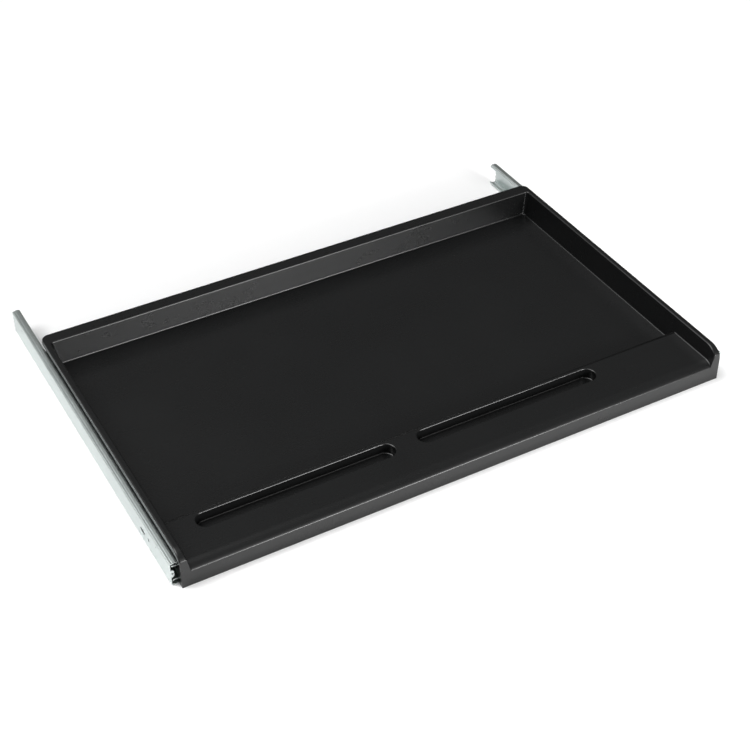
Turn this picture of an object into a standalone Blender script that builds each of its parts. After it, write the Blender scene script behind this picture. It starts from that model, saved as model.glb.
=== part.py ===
"""Under desk drawer: a moulded tray that runs on two ball bearing slides.

Each slide has an outer channel that is fixed to the desk, an inner channel that
is screwed to the side of the tray, and a ball cage that rolls between them.
X is the width, -Y the front, Z up. The origin is the centre of the footprint.
"""

import math

import bmesh
import bpy

MM = 0.001

# Tray, outside
TRAY_WIDTH = 560 * MM
TRAY_DEPTH = 340 * MM
TRAY_HEIGHT = 36 * MM
CHEEK_RADIUS = 20 * MM
BACK_CORNER_RADIUS = 8 * MM

# Tray, inside
FLOOR_TOP = 9.6 * MM
FLOOR_THICKNESS = 3 * MM
SIDE_WALL = 6 * MM
SIDE_DRAFT = 4 * MM
BACK_WALL = 14.5 * MM
BACK_DRAFT = 2.5 * MM
INNER_CORNER_RADIUS = 3 * MM

# Raised front deck that carries the pen slots
DECK_TOP = 20.5 * MM
DECK_THICKNESS = 3 * MM
RAMP_LENGTH = 11 * MM
NOSE_RADIUS = 14 * MM
FRONT_EDGE_RADIUS = 1.4 * MM
FRONT_SWEEP = 45
CHEEK_PROUD = 0.5 * MM
FRONT_SKIN = 4 * MM

# Pen slots
SLOT_COUNT = 2
SLOT_LENGTH = 193.5 * MM
SLOT_WIDTH = 18 * MM
SLOT_DEPTH = 10.5 * MM
SLOT_GAP = 25 * MM
SLOT_FROM_WALL = 24.5 * MM
SLOT_FRONT_LAND = 37 * MM
SLOT_BACK_LAND = 3 * MM
SLOT_BOTTOM_RADIUS = 4 * MM
DECK_DEPTH = SLOT_FRONT_LAND + SLOT_WIDTH + SLOT_BACK_LAND

# Ribs under the tray
RIB = 3 * MM
CELL_COLUMNS = 6
CELL_ROWS = 3
BACK_SKIN = 3.5 * MM

# Slides
RAIL_PROUD = 7 * MM
RAIL_SETBACK = 7 * MM
RAIL_OVERHANG = 67 * MM
RAIL_RAISE = 0.2 * MM
SLIDE_HEIGHT = 25.4 * MM
SLIDE_THICKNESS = 10 * MM
FLANGE_WIDTH = 8 * MM
FLANGE_LIP = 3 * MM
SHEET = 1 * MM
BEND_RADIUS = 0.9 * MM
INNER_LIP_RISE = 0.6 * MM
INNER_FRONT_INSET = 8 * MM
INNER_BACK_INSET = 5.8 * MM
TRAVEL = 230 * MM

# Balls and cage
BALL_DIAMETER = 3 * MM
BALL_PLAY = 0.2 * MM
RUNNING_GAP = 0.25 * MM
BALLS_PER_ROW = 6
CAGE_SHEET = 0.5 * MM
CAGE_BEND = 0.6 * MM
CAGE_EDGE = 0.5 * MM
CAGE_LENGTH = 88 * MM
CAGE_END = 6.5 * MM

# Stops
TAB_HEIGHT = 8 * MM
TAB_REACH = 3 * MM
TAB_THICKNESS = 1.5 * MM
TAB_CLEARANCE = 1.5 * MM
BUMPER_LENGTH = 10 * MM
BUMPER_CORNER = 2 * MM

# Holes in the outer channel
MOUNT_SLOT_LENGTH = 9 * MM
MOUNT_SLOT_WIDTH = 4.4 * MM
MOUNT_FROM_END = 59.5 * MM
PILOT_RADIUS = 1.6 * MM
PILOT_FROM_SLOT = 13 * MM

# Screws that hold the inner channels to the tray
SCREWS_PER_SIDE = 3
SCREW_END_INSET = 32 * MM
SCREW_RADIUS = 1.45 * MM
SCREW_GRIP = 4.4 * MM
HEAD_RADIUS = 3 * MM
HEAD_HEIGHT = 1.4 * MM
HEAD_CROWN = 0.6
HEAD_SHOULDER = 0.95
SCREW_POINT = 1 / 3

# Clearances
FIT_GAP = 0.3 * MM
POCKET_GAP = 4.6 * MM
CHEEK_GAP = 0.6 * MM
CUT_PAST = 1 * MM

# Derived sizes
RAIL_LENGTH = TRAY_DEPTH - RAIL_SETBACK + RAIL_OVERHANG
FRONT_Y = -(RAIL_SETBACK + RAIL_LENGTH) / 2
HALF_WIDTH = TRAY_WIDTH / 2
RAIL_X = HALF_WIDTH + RAIL_PROUD
RAIL_FRONT = FRONT_Y + RAIL_SETBACK
RAIL_BACK = RAIL_FRONT + RAIL_LENGTH
POCKET_X = RAIL_X - SLIDE_THICKNESS - FIT_GAP
SLIDE_MIDDLE = RAIL_RAISE + SLIDE_HEIGHT / 2
BALL_RADIUS = BALL_DIAMETER / 2
BALL_RISE = SLIDE_HEIGHT / 2 - SHEET - RUNNING_GAP - BALL_RADIUS
INNER_RISE = BALL_RISE - BALL_RADIUS - RUNNING_GAP
CAGE_REACH = FLANGE_WIDTH - SHEET - FIT_GAP
BALL_INSET = CAGE_REACH - CAGE_EDGE - BALL_RADIUS - BALL_PLAY
INNER_FRONT = FRONT_Y + INNER_FRONT_INSET
INNER_BACK = FRONT_Y + TRAY_DEPTH - INNER_BACK_INSET
CAGE_FRONT = RAIL_FRONT + TAB_THICKNESS + TAB_CLEARANCE + TRAVEL / 2
FLOOR_HALF = HALF_WIDTH - SIDE_WALL - SIDE_DRAFT

# Roundness
ARC_STEPS = 4
EDGE_STEPS = 2
BEND_STEPS = 2
HOLE_SIDES = 12
SCREW_SIDES = 12

SIDES = {"left": -1, "right": 1}


def clear_scene():
    """Empty the scene, so that only the drawer is left in it."""
    for item in list(bpy.data.objects):
        bpy.data.objects.remove(item, do_unlink=True)


def finish(name, colour, roughness, metallic):
    """One plain material with the finish of a part."""
    material = bpy.data.materials.new(name)
    material.use_nodes = True
    shader = material.node_tree.nodes["Principled BSDF"]
    shader.inputs["Base Color"].default_value = (*colour, 1)
    shader.inputs["Roughness"].default_value = roughness
    shader.inputs["Metallic"].default_value = metallic
    return material


def add_object(name, shape, material=None, parent=None, smooth=False):
    """Put a shape into the scene as a named object, faces pointing out."""
    bmesh.ops.recalc_face_normals(shape, faces=shape.faces)
    mesh = bpy.data.meshes.new(name)
    shape.to_mesh(mesh)
    shape.free()
    if smooth:
        mesh.shade_smooth()
    item = bpy.data.objects.new(name, mesh)
    bpy.context.scene.collection.objects.link(item)
    if material:
        mesh.materials.append(material)
    if parent:
        item.parent = parent
        item.matrix_parent_inverse = parent.matrix_world.inverted()
    return item


def add_carriage(name, y):
    """An empty on the line that a sliding group moves along."""
    carriage = bpy.data.objects.new(name, None)
    carriage.location = (0, y, SLIDE_MIDDLE)
    bpy.context.scene.collection.objects.link(carriage)
    bpy.context.view_layer.update()
    return carriage


def cut(target, shape, name):
    """Take a shape away from an object."""
    cutter = add_object(f"{target.name}_{name}", shape)
    cutter.hide_render = True
    cutter.display_type = "WIRE"
    modifier = target.modifiers.new(name, "BOOLEAN")
    modifier.operation = "DIFFERENCE"
    modifier.solver = "EXACT"
    modifier.object = cutter


def arc(centre, radius, start, end, steps=ARC_STEPS):
    """Points on a circle between two angles in degrees."""
    points = []
    for step in range(steps + 1):
        angle = math.radians(start + (end - start) * step / steps)
        x = centre[0] + radius * math.cos(angle)
        y = centre[1] + radius * math.sin(angle)
        points.append((x, y))
    return points


def skin(shape, first, second):
    """Close two matching rings of points into a solid."""
    low = [shape.verts.new(point) for point in first]
    high = [shape.verts.new(point) for point in second]
    shape.faces.new(low)
    shape.faces.new(reversed(high))
    for index, corner in enumerate(low):
        shape.faces.new((corner, high[index], high[index - 1], low[index - 1]))
    return low, high


def add_box(shape, low, high):
    """Add a plain block between two corners."""
    ring = [(low[0], low[1]), (high[0], low[1]), (high[0], high[1]), (low[0], high[1])]
    skin(shape, [(*point, low[2]) for point in ring], [(*point, high[2]) for point in ring])


def add_rod(shape, x_from, x_to, y, z, radius, sides=HOLE_SIDES):
    """Add a round bar that lies along X."""
    ring = arc((y, z), radius, 0, 360, sides)[:-1]
    skin(shape, [(x_from, *point) for point in ring], [(x_to, *point) for point in ring])


def stadium(centre, length, width):
    """A slot's outline: straight sides with a half round at each end."""
    half = (length - width) / 2
    right = arc((centre[0] + half, centre[1]), width / 2, -90, 90, 2 * ARC_STEPS)
    left = arc((centre[0] - half, centre[1]), width / 2, 90, 270, 2 * ARC_STEPS)
    return right + left


def round_corner(before, corner, after, radius):
    """The middle line of a bend, as an arc that touches both straight legs."""
    ways = []
    for end in (before, after):
        span = math.dist(corner, end)
        ways.append(((end[0] - corner[0]) / span, (end[1] - corner[1]) / span))
    centre = [corner[axis] + radius * (ways[0][axis] + ways[1][axis]) for axis in (0, 1)]
    start = math.degrees(math.atan2(-ways[1][1], -ways[1][0]))
    turn = math.degrees(math.atan2(-ways[0][1], -ways[0][0])) - start
    turn = (turn + 180) % 360 - 180
    return arc(centre, radius, start, start + turn, BEND_STEPS)


def bent_sheet(corners, sheet, bend):
    """The section of a folded strip, from the corners of its middle line."""
    middle = [corners[0]]
    for before, corner, after in zip(corners, corners[1:], corners[2:]):
        middle += round_corner(before, corner, after, bend)
    middle.append(corners[-1])
    sides = ([], [])
    for index, point in enumerate(middle):
        back = middle[max(index - 1, 0)]
        ahead = middle[min(index + 1, len(middle) - 1)]
        span = math.dist(back, ahead)
        across = ((back[1] - ahead[1]) / span, (ahead[0] - back[0]) / span)
        for way, side in zip((1, -1), sides):
            offset = way * sheet / 2
            side.append((point[0] + across[0] * offset, point[1] + across[1] * offset))
    return sides[0] + sides[1][::-1]


def channel(side, corners, sheet, bend, front, back):
    """A folded strip that runs from front to back on one side of the tray.

    Its corners are given as the distance in from the desk side, and the height
    above the middle of the slide.
    """
    shape = bmesh.new()
    section = bent_sheet(corners, sheet, bend)
    rings = []
    for y in (front, back):
        ring = [(side * (RAIL_X - inset), y, SLIDE_MIDDLE + rise) for inset, rise in section]
        rings.append(ring)
    skin(shape, *rings)
    return shape


def edges_between(rings, corner, following):
    """The edge from one corner to the next, on each of two rings of points."""
    found = []
    for ring in rings:
        for edge in ring[corner].link_edges:
            if edge.other_vert(ring[corner]) is ring[following]:
                found.append(edge)
    return found


def round_edges(shape, edges, radius, steps):
    """Give these edges a round corner."""
    bmesh.ops.bevel(shape, geom=edges, offset=radius, segments=steps, profile=0.5, affect="EDGES")


def front_profile(face, top, radius):
    """A front edge seen from the side: upright, a small corner, then a long curve to the top."""
    inset = FRONT_EDGE_RADIUS + (radius - FRONT_EDGE_RADIUS) * math.sin(math.radians(FRONT_SWEEP))
    rise = (radius - FRONT_EDGE_RADIUS) * math.cos(math.radians(FRONT_SWEEP))
    corner = (face + FRONT_EDGE_RADIUS, top - radius + rise)
    turn = 90 + FRONT_SWEEP
    curve = arc((face + inset, top - radius), radius, turn, 90)
    return arc(corner, FRONT_EDGE_RADIUS, 180, turn, EDGE_STEPS)[:-1] + curve


def tray_block():
    """The outside of the tray, seen from the side and drawn out to its width."""
    shape = bmesh.new()
    back = FRONT_Y + TRAY_DEPTH
    outline = [(back, TRAY_HEIGHT), (back, 0), (FRONT_Y, 0)]
    outline += front_profile(FRONT_Y, TRAY_HEIGHT, CHEEK_RADIUS)
    rings = skin(
        shape,
        [(-HALF_WIDTH, *point) for point in outline],
        [(HALF_WIDTH, *point) for point in outline],
    )
    round_edges(shape, edges_between(rings, 0, 1), BACK_CORNER_RADIUS, ARC_STEPS)
    return shape


def inside_half_width(z):
    """Half the space between the side walls, which lean out as they rise."""
    rise = max(z - FLOOR_TOP, 0) / (TRAY_HEIGHT - FLOOR_TOP)
    return FLOOR_HALF + SIDE_DRAFT * rise


def tray_inside():
    """The space over the front face, the nose, the deck and the floor."""
    shape = bmesh.new()
    top = TRAY_HEIGHT + CUT_PAST
    face = FRONT_Y + CHEEK_PROUD
    wall_top = FRONT_Y + TRAY_DEPTH - BACK_WALL
    lean = BACK_DRAFT / (TRAY_HEIGHT - FLOOR_TOP)
    outline = [(FRONT_Y - CUT_PAST, top), (FRONT_Y - CUT_PAST, -CUT_PAST), (face, -CUT_PAST)]
    outline += front_profile(face, DECK_TOP, NOSE_RADIUS)
    outline.append((FRONT_Y + DECK_DEPTH, DECK_TOP))
    outline.append((FRONT_Y + DECK_DEPTH + RAMP_LENGTH, FLOOR_TOP))
    outline.append((wall_top - BACK_DRAFT, FLOOR_TOP))
    outline.append((wall_top + lean * CUT_PAST, top))
    rings = skin(
        shape,
        [(-inside_half_width(point[1]), *point) for point in outline],
        [(inside_half_width(point[1]), *point) for point in outline],
    )
    round_edges(shape, edges_between(rings, -1, -2), INNER_CORNER_RADIUS, ARC_STEPS)
    return shape


def slot_centres():
    """Where the pen slots lie, counted from the left side wall."""
    first = -FLOOR_HALF + SLOT_FROM_WALL + SLOT_LENGTH / 2
    y = FRONT_Y + SLOT_FRONT_LAND + SLOT_WIDTH / 2
    return [(first + index * (SLOT_LENGTH + SLOT_GAP), y) for index in range(SLOT_COUNT)]


def pen_slots():
    """The troughs that the pens lie in, with rounded bottoms."""
    shape = bmesh.new()
    bottom = DECK_TOP - SLOT_DEPTH
    rims = []
    for centre in slot_centres():
        ring = stadium(centre, SLOT_LENGTH, SLOT_WIDTH)
        low, _ = skin(
            shape,
            [(*point, bottom) for point in ring],
            [(*point, DECK_TOP + CUT_PAST) for point in ring],
        )
        rims += [shape.edges.get((low[index - 1], low[index])) for index in range(len(low))]
    round_edges(shape, rims, SLOT_BOTTOM_RADIUS, ARC_STEPS - 1)
    return shape


def add_cells(shape, y_from, y_to, top, columns, rows, half_width):
    """Add a grid of blocks that leaves ribs between them."""
    wide = (2 * half_width - (columns - 1) * RIB) / columns
    deep = (y_to - y_from - (rows - 1) * RIB) / rows
    for column in range(columns):
        x = -half_width + column * (wide + RIB)
        for row in range(rows):
            y = y_from + row * (deep + RIB)
            add_box(shape, (x, y, -CUT_PAST), (x + wide, y + deep, top))


def tray_underside():
    """The hollows under the deck, the floor and the back wall."""
    shape = bmesh.new()
    half_width = FLOOR_HALF - FRONT_SKIN
    back = FRONT_Y + TRAY_DEPTH
    deck_end = FRONT_Y + SLOT_FRONT_LAND - RIB
    floor_end = back - BACK_WALL - BACK_DRAFT - RIB
    deck_under = DECK_TOP - DECK_THICKNESS
    floor_under = FLOOR_TOP - FLOOR_THICKNESS
    deck_front = FRONT_Y + CHEEK_PROUD + FRONT_SKIN
    add_cells(shape, deck_front, deck_end - RIB, deck_under, CELL_COLUMNS, 1, half_width)
    add_cells(shape, deck_end, floor_end, floor_under, CELL_COLUMNS, CELL_ROWS, half_width)
    wall_from = back - BACK_WALL + RIB
    add_cells(shape, wall_from, back - BACK_SKIN, TRAY_HEIGHT - RIB, CELL_COLUMNS, 1, half_width)
    return shape


def slide_pockets():
    """The shallow pockets in the side walls that the slides lie in."""
    shape = bmesh.new()
    top = RAIL_RAISE + SLIDE_HEIGHT + POCKET_GAP
    for side in SIDES.values():
        ends = sorted((side * POCKET_X, side * (HALF_WIDTH + CUT_PAST)))
        low = (ends[0], RAIL_FRONT - CHEEK_GAP, -CUT_PAST)
        high = (ends[1], FRONT_Y + TRAY_DEPTH + CUT_PAST, top)
        add_box(shape, low, high)
    return shape


def screw_places():
    """How far back each screw is, evenly spread along the inner channel."""
    first = INNER_FRONT + SCREW_END_INSET
    step = (INNER_BACK - SCREW_END_INSET - first) / (SCREWS_PER_SIDE - 1)
    return [first + index * step for index in range(SCREWS_PER_SIDE)]


def screw_holes(depth_from, depth_to, sides):
    """Holes for the screws, between two distances in from the desk side."""
    shape = bmesh.new()
    for side in sides:
        for y in screw_places():
            ends = [side * (RAIL_X - depth) for depth in (depth_from, depth_to)]
            add_rod(shape, *ends, y, SLIDE_MIDDLE, SCREW_RADIUS + FIT_GAP)
    return shape


def build_tray(material, carriage):
    """The moulded tray: walls, floor, raised front deck and pen slots."""
    tray = add_object("tray", tray_block(), material, carriage)
    cut(tray, tray_inside(), "inside")
    cut(tray, pen_slots(), "pen_slots")
    cut(tray, tray_underside(), "underside")
    cut(tray, slide_pockets(), "slide_pockets")
    wall = RAIL_X - POCKET_X
    reach = wall + SCREW_GRIP + FIT_GAP
    cut(tray, screw_holes(wall - CUT_PAST, reach, SIDES.values()), "screw_holes")


def stop_tab(side):
    """The end of the web folded in, which stops the cage when the drawer is out."""
    shape = bmesh.new()
    ends = sorted(side * (RAIL_X - inset) for inset in (SHEET / 2, SHEET + TAB_REACH))
    low = (ends[0], RAIL_FRONT + CUT_PAST / 2, SLIDE_MIDDLE - TAB_HEIGHT / 2)
    high = (ends[1], RAIL_FRONT + TAB_THICKNESS, SLIDE_MIDDLE + TAB_HEIGHT / 2)
    add_box(shape, low, high)
    return shape


def mounting_holes(side):
    """The slot and the pilot hole for the screws that go into the desk."""
    shape = bmesh.new()
    ends = [side * (RAIL_X + offset) for offset in (CUT_PAST, -SHEET - CUT_PAST)]
    slot = RAIL_FRONT + MOUNT_FROM_END
    ring = stadium((slot, SLIDE_MIDDLE), MOUNT_SLOT_LENGTH, MOUNT_SLOT_WIDTH)
    skin(shape, [(ends[0], *point) for point in ring], [(ends[1], *point) for point in ring])
    add_rod(shape, *ends, slot - PILOT_FROM_SLOT, SLIDE_MIDDLE, PILOT_RADIUS)
    return shape


def build_outer_channel(name, side, material):
    """The channel that is fixed to the desk."""
    edge = SLIDE_HEIGHT / 2 - SHEET / 2
    tip = SLIDE_HEIGHT / 2 - FLANGE_LIP
    lip = FLANGE_WIDTH - SHEET / 2
    web = SHEET / 2
    corners = [(lip, tip), (lip, edge), (web, edge), (web, -edge), (lip, -edge), (lip, -tip)]
    shape = channel(side, corners, SHEET, BEND_RADIUS, RAIL_FRONT, RAIL_BACK)
    rail = add_object(f"{name}_outer_channel", shape, material)
    tab = add_object(f"{name}_outer_channel_stop_tab", stop_tab(side))
    tab.hide_render = True
    tab.display_type = "WIRE"
    joined = rail.modifiers.new("stop_tab", "BOOLEAN")
    joined.operation = "UNION"
    joined.solver = "EXACT"
    joined.object = tab
    cut(rail, mounting_holes(side), "mounting_holes")


def build_inner_channel(name, side, material, carriage):
    """The channel that is screwed to the side of the tray."""
    lip = SHEET + 2 * FIT_GAP + CAGE_SHEET + SHEET / 2
    web = SLIDE_THICKNESS - SHEET / 2
    edge = INNER_RISE - SHEET / 2
    tip = INNER_RISE + INNER_LIP_RISE
    corners = [(lip, tip), (lip, edge), (web, edge), (web, -edge), (lip, -edge), (lip, -tip)]
    shape = channel(side, corners, SHEET, BEND_RADIUS, INNER_FRONT, INNER_BACK)
    rail = add_object(f"{name}_inner_channel", shape, material, carriage)
    near, far = SLIDE_THICKNESS - SHEET - CUT_PAST, SLIDE_THICKNESS + CUT_PAST
    cut(rail, screw_holes(near, far, [side]), "screw_holes")


def ball_places():
    """How far back each ball of a row is."""
    pitch = (CAGE_LENGTH - 2 * CAGE_END) / (BALLS_PER_ROW - 1)
    return [CAGE_FRONT + CAGE_END + index * pitch for index in range(BALLS_PER_ROW)]


def ball_windows(side):
    """The holes in the cage that the balls turn in."""
    shape = bmesh.new()
    half = CAGE_SHEET / 2 + CUT_PAST
    x = side * (RAIL_X - BALL_INSET)
    for rise in (BALL_RISE, -BALL_RISE):
        for y in ball_places():
            ring = arc((x, y), BALL_RADIUS + BALL_PLAY, 0, 360, HOLE_SIDES)[:-1]
            middle = SLIDE_MIDDLE + rise
            skin(
                shape,
                [(*point, middle - half) for point in ring],
                [(*point, middle + half) for point in ring],
            )
    return shape


def build_cage(name, side, materials, carriage):
    """The strip that keeps the balls apart, and its two rows of balls."""
    web = SHEET + FIT_GAP + CAGE_SHEET / 2
    corners = [(CAGE_REACH, BALL_RISE), (web, BALL_RISE), (web, -BALL_RISE), (CAGE_REACH, -BALL_RISE)]
    shape = channel(side, corners, CAGE_SHEET, CAGE_BEND, CAGE_FRONT, CAGE_FRONT + CAGE_LENGTH)
    cage = add_object(f"{name}_ball_cage", shape, materials["cage"], carriage)
    cut(cage, ball_windows(side), "ball_windows")
    for row, rise in (("upper", BALL_RISE), ("lower", -BALL_RISE)):
        for number, y in enumerate(ball_places(), 1):
            ball = bmesh.new()
            bmesh.ops.create_icosphere(ball, subdivisions=2, radius=BALL_RADIUS)
            place = (side * (RAIL_X - BALL_INSET), y, SLIDE_MIDDLE + rise)
            bmesh.ops.translate(ball, verts=ball.verts, vec=place)
            add_object(f"{name}_{row}_ball_{number}", ball, materials["ball"], carriage, smooth=True)


def build_bumper(name, side, material):
    """The block in the outer channel that the inner channel closes against."""
    shape = bmesh.new()
    front = INNER_BACK + FIT_GAP
    half = SLIDE_HEIGHT / 2 - SHEET - FIT_GAP
    near, far = SHEET + FIT_GAP, FLANGE_WIDTH - SHEET - FIT_GAP
    plan = [
        (near, front + BUMPER_CORNER),
        (near + BUMPER_CORNER, front),
        (far - BUMPER_CORNER, front),
        (far, front + BUMPER_CORNER),
        (far, front + BUMPER_LENGTH),
        (near, front + BUMPER_LENGTH),
    ]
    plan = [(side * (RAIL_X - inset), y) for inset, y in plan]
    skin(
        shape,
        [(*point, SLIDE_MIDDLE - half) for point in plan],
        [(*point, SLIDE_MIDDLE + half) for point in plan],
    )
    add_object(f"{name}_closing_bumper", shape, material)


def build_screws(name, side, material, carriage):
    """Pan head screws through the inner channel into the side of the tray."""
    head = SLIDE_THICKNESS - SHEET - FIT_GAP
    end = SLIDE_THICKNESS + FIT_GAP + SCREW_GRIP
    profile = [
        (head - HEAD_HEIGHT, HEAD_RADIUS * HEAD_CROWN),
        (head - HEAD_HEIGHT / 2, HEAD_RADIUS * HEAD_SHOULDER),
        (head, HEAD_RADIUS),
        (head, SCREW_RADIUS),
        (end - SCREW_RADIUS, SCREW_RADIUS),
        (end, SCREW_RADIUS * SCREW_POINT),
    ]
    for number, y in enumerate(screw_places(), 1):
        shape = bmesh.new()
        rings = []
        for inset, radius in profile:
            circle = arc((y, SLIDE_MIDDLE), radius, 0, 360, SCREW_SIDES)[:-1]
            rings.append([shape.verts.new((side * (RAIL_X - inset), *point)) for point in circle])
        shape.faces.new(rings[0])
        shape.faces.new(rings[-1])
        for ring, following in zip(rings, rings[1:]):
            for index in range(SCREW_SIDES):
                shape.faces.new((ring[index - 1], ring[index], following[index], following[index - 1]))
        add_object(f"{name}_screw_{number}", shape, material, carriage)


def main():
    clear_scene()
    plastic = finish("black_moulded_plastic", (0.018, 0.019, 0.019), 0.42, 0)
    zinc = finish("zinc_plated_steel", (0.62, 0.66, 0.65), 0.35, 1)
    metals = {
        "cage": finish("bright_cage_strip", (0.5, 0.52, 0.52), 0.4, 1),
        "ball": finish("polished_ball_steel", (0.75, 0.76, 0.78), 0.12, 1),
    }
    screw_finish = finish("plated_screw_steel", (0.55, 0.56, 0.56), 0.35, 1)
    nylon = finish("natural_nylon", (0.7, 0.69, 0.63), 0.5, 0)

    tray_carriage = add_carriage("tray_carriage", FRONT_Y)
    build_tray(plastic, tray_carriage)
    for name, side in SIDES.items():
        cage_carriage = add_carriage(f"{name}_cage_carriage", CAGE_FRONT)
        build_outer_channel(name, side, zinc)
        build_inner_channel(name, side, zinc, tray_carriage)
        build_cage(name, side, metals, cage_carriage)
        build_bumper(name, side, nylon)
        build_screws(name, side, screw_finish, tray_carriage)


main()
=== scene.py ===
"""The looks of an under desk drawer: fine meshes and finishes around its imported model."""

import math

import bmesh
import bpy
from bpy.props import FloatProperty, FloatVectorProperty, IntProperty, PointerProperty
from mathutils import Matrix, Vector


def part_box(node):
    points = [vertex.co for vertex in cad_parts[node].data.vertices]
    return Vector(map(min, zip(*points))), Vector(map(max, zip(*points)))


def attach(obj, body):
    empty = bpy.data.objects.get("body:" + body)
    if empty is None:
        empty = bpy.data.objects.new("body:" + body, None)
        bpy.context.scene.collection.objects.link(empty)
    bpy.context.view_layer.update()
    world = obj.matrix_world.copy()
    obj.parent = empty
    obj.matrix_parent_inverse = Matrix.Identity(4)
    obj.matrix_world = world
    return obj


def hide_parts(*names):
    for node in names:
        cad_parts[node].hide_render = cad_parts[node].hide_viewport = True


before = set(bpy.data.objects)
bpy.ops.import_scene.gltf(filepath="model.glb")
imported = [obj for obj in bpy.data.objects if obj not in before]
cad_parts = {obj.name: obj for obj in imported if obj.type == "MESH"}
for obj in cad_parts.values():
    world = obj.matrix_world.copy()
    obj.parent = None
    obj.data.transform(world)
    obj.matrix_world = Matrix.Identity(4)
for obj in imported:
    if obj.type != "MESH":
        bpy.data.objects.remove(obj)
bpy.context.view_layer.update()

bl_info = {
    "name": "Under Desk Drawer",
    "version": (1, 0, 0),
    "blender": (4, 5, 0),
    "location": "3D View > Sidebar > Drawer",
    "description": "Builds the fine tray, slides and finishes of an under desk drawer",
    "category": "Object",
}

MM = 0.001
SIDES = {"left": -1, "right": 1}
ROWS = {"upper": 1, "lower": -1}
BALLS_PER_ROW = 6
SCREWS_PER_SIDE = 3

TRAY_LOW, TRAY_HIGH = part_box("tray")
RAIL_LOW, RAIL_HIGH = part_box("right_outer_channel")
INNER_LOW, INNER_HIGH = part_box("right_inner_channel")
CAGE_LOW, CAGE_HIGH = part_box("right_ball_cage")

FRONT_Y = TRAY_LOW[1]
BACK_Y = TRAY_HIGH[1]
HALF_WIDTH = TRAY_HIGH[0]
RAIL_X = RAIL_HIGH[0]
SLIDE_MIDDLE = (RAIL_LOW[2] + RAIL_HIGH[2]) / 2
SLIDE_HALF = (RAIL_HIGH[2] - RAIL_LOW[2]) / 2

CUT_PAST = 1 * MM
WELD = 0.001 * MM
SHARP = math.radians(33)
FLAT = math.radians(0.5)

# Fine shapes of the tray
FRONT_SWEEP = 45
TIGHT_STEPS = 2
CURVE_STEPS = 12
BACK_CORNER_STEPS = 12
INNER_CORNER_STEPS = 8
EDGE_STEPS = 4
TROUGH_COUNT = 2
TROUGH_BOTTOM = 4 * MM
TROUGH_STEPS = 7
SKIRT = 4 * MM
BACK_SKIN = 3.5 * MM
HOLLOW_EDGE = 0.8 * MM
HOLLOW_STEPS = 2
SLIDE_ROOM = 0.3 * MM
POCKET_END_ROOM = 0.6 * MM

# Fine shapes of the slides, along a rail from its front end and across it from its outer face
RACE_START = 3.1 * MM
RACE_END = 5.8 * MM
RACE_SLOPE = 0.35 * MM
TAB_FRONT = 0.5 * MM
TAB_BACK = 1.5 * MM
TAB_HALF = 4 * MM
TAB_CORNER = 2.4 * MM
TAB_BEND = 0.6 * MM
TAB_HOLE_INSET = 1.4 * MM
TAB_HOLE_RADIUS = 0.8 * MM
SLOT_FROM_END = 59.5 * MM
SLOT_LENGTH = 9 * MM
SLOT_WIDTH = 4.4 * MM
PILOT_FROM_END = 46.5 * MM
PILOT_RADIUS = 1.6 * MM
COINED_PLACES = ((29.5, 6.9), (32, -8.2), (372, 6.9), (372, -8.2))  # along and up, in MM
COINED_RADIUS = 1.1 * MM
COINED_DEPTH = 0.4 * MM
SCALLOP_RISES = (-7.2 * MM, -2.4 * MM, 2.4 * MM, 7.2 * MM)
SCALLOP_RADIUS = 1.3 * MM
INNER_LIP_RISE = 0.6 * MM
CAGE_BEND = 0.6 * MM

# Fine shapes of the screws and bumpers
SCREW_HOLE = 1.75 * MM
SHANK = 1.45 * MM
HEAD = 1.4 * MM
HEAD_FLAT = 0.35
HEAD_DROP = 0.72
HEAD_STEPS = 8
PITCH = 0.8 * MM
THREAD_START = 0.5 * MM
THREAD_SHORT = 1.2 * MM
THREAD_ROOT = 0.82
POINT = 0.3
CROSS_DEPTH = 0.8 * MM
CROSS_ARM = 1.6 * MM
CROSS_HALF = 0.3 * MM
BUMPER_EDGE = 0.9 * MM
BUMPER_STEPS = 4
RELIEF_RISE = 5.5 * MM
RELIEF_RADIUS = 2.2 * MM

# The stage
FLOOR_REACH = 20
FLOOR_THICKNESS = 20 * MM
CANOPY_WAY = (-0.35, 0.25, 0.9)
CANOPY_FADE = (0.85, 1)
FRONT_WAY = (0.2, -0.92, 0.34)
FRONT_FADE = (0.84, 1)
WALL_FADE = (0.45, 0.75)
LOW_WALL_DIM = 2.5
KEY_PLACE = (0.42, -1.45, 0.46)
KEY_AIM = (0, -0.17, 0)
KEY_SIZE = (0.8, 0.3)
SIDE_PLACE = (-1.1, 0.2, 0.95)
SIDE_AIM = (-0.05, -0.1, 0)
SIDE_SIZE = (0.35, 0.35)


# Sizes and colours that a user would change


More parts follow.
